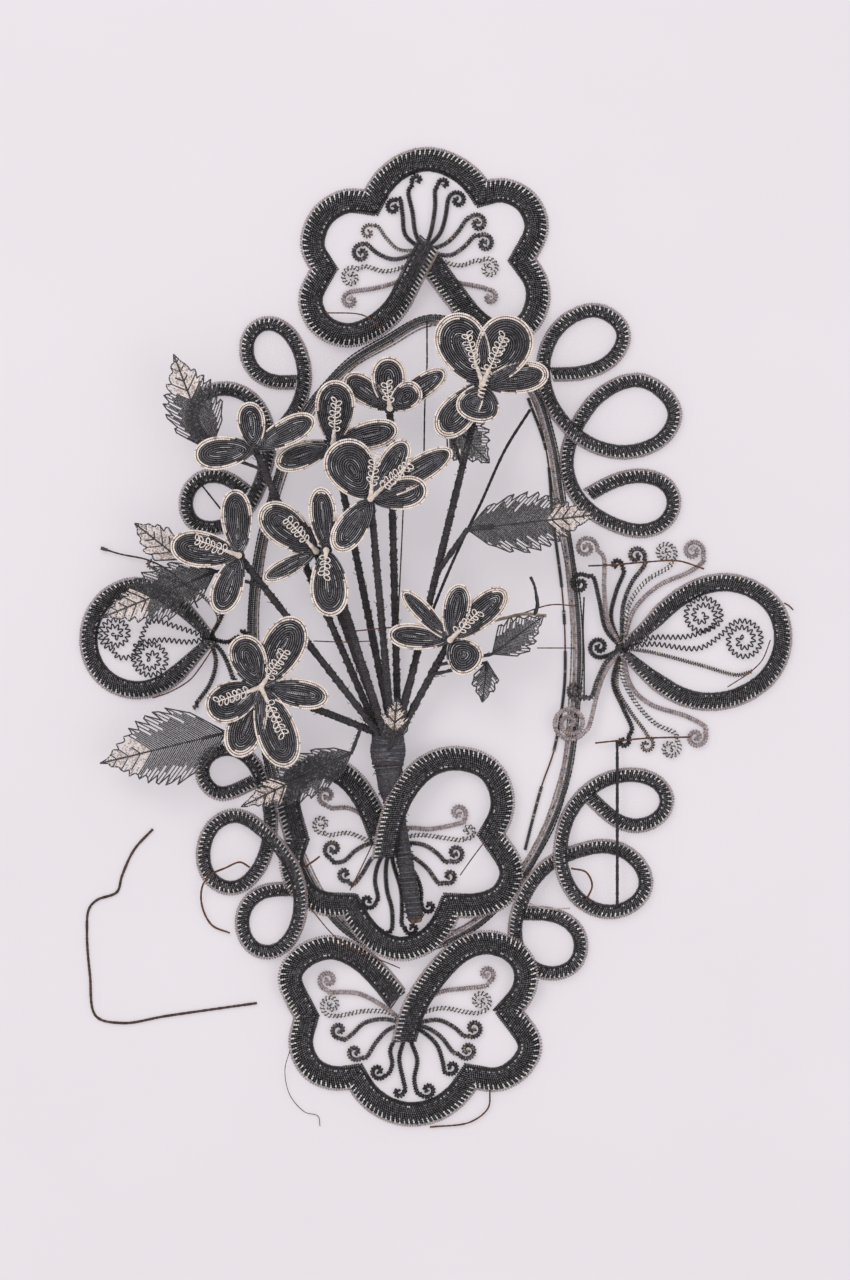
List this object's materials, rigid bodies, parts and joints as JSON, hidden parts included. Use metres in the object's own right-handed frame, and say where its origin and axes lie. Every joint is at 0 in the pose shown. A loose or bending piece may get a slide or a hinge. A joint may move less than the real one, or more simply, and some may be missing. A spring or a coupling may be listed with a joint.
{
  "type": "funeral wreath",
  "caption": "Beaded wire funeral wreath: an oval ring with scroll, pansy and teardrop bands round it, curled bead wires, and a spray of beaded flowers and leaves on a wrapped handle",
  "frame": {"origin": "Under the middle of the bounding box, on the surface the wreath lies on", "axes": "+X runs to the right of the wreath, +Y up the wreath from its lowest to its top pansy, +Z away from its back, towards the viewer of its face"},
  "size_m": [0.6442, 0.8834, 0.0861],
  "materials": {
    "bead_black": "glossy black seed beads",
    "bead_grey": "dark grey-blue seed beads with a metallic lustre, edged with cream rows",
    "bead_pale": "opaque cream and pinkish seed beads",
    "thread_black": "closely wound black thread, dusty",
    "wire_rust": "bare iron wire, rusted"
  },
  "bodies": {
    "wreath": {"oval_beaded_ring": "bead_grey", "oval_inner_wire": "wire_rust", "scroll_band_top_right": "bead_grey", "scroll_band_top_left": "bead_grey", "scroll_band_bottom_right": "bead_grey", "scroll_band_bottom_left": "bead_grey", "pansy_band_top": "bead_grey", "pansy_band_middle": "bead_grey", "pansy_band_bottom": "bead_grey", "pansy_filigree_top": "bead_black", "pansy_filigree_middle": "bead_black", "pansy_filigree_bottom": "bead_black", "teardrop_band_right": "bead_grey", "teardrop_band_left": "bead_grey", "side_filigree_right": "bead_black", "side_filigree_left": "bead_black", "cross_wire_upper": "wire_rust", "cross_wire_lower": "wire_rust", "bouquet_handle": "thread_black", "bouquet_binding": "thread_black", "flower_upper_right": "bead_grey", "stem_upper_right": "thread_black", "stamens_upper_right": "bead_pale", "flower_upper_middle": "bead_grey", "stem_upper_middle": "thread_black", "stamens_upper_middle": "bead_pale", "flower_upper_left": "bead_grey", "stem_upper_left": "thread_black", "stamens_upper_left": "bead_pale", "flower_centre": "bead_grey", "stem_centre": "thread_black", "stamens_centre": "bead_pale", "flower_far_left": "bead_grey", "stem_far_left": "thread_black", "flower_left": "bead_grey", "stem_left": "thread_black", "stamens_left": "bead_pale", "flower_centre_left": "bead_grey", "stem_centre_left": "thread_black", "stamens_centre_left": "bead_pale", "flower_centre_low": "bead_grey", "stem_centre_low": "thread_black", "stamens_centre_low": "bead_pale", "flower_lower_left": "bead_grey", "stem_lower_left": "thread_black", "stamens_lower_left": "bead_pale", "flower_right": "bead_grey", "stem_right": "thread_black", "stamens_right": "bead_pale", "leaf_far_left": "bead_grey", "leaf_upper": "bead_grey", "leaf_upper_right": "bead_grey", "leaf_left": "bead_grey", "leaf_left_pale": "bead_grey", "leaf_lower_left": "bead_grey", "leaf_lower": "bead_grey", "leaf_bundle": "bead_grey", "leaf_right": "bead_grey", "leaf_lower_right": "bead_grey"},
    "loose_wire": {"loose_wire": "wire_rust"}
  },
  "joints": [
    {"name": "loose_wire_lift", "type": "slide", "parent": "wreath", "child": "loose_wire", "axis": [0, 0, 1], "range_m": [0, 0.15]}
  ]
}
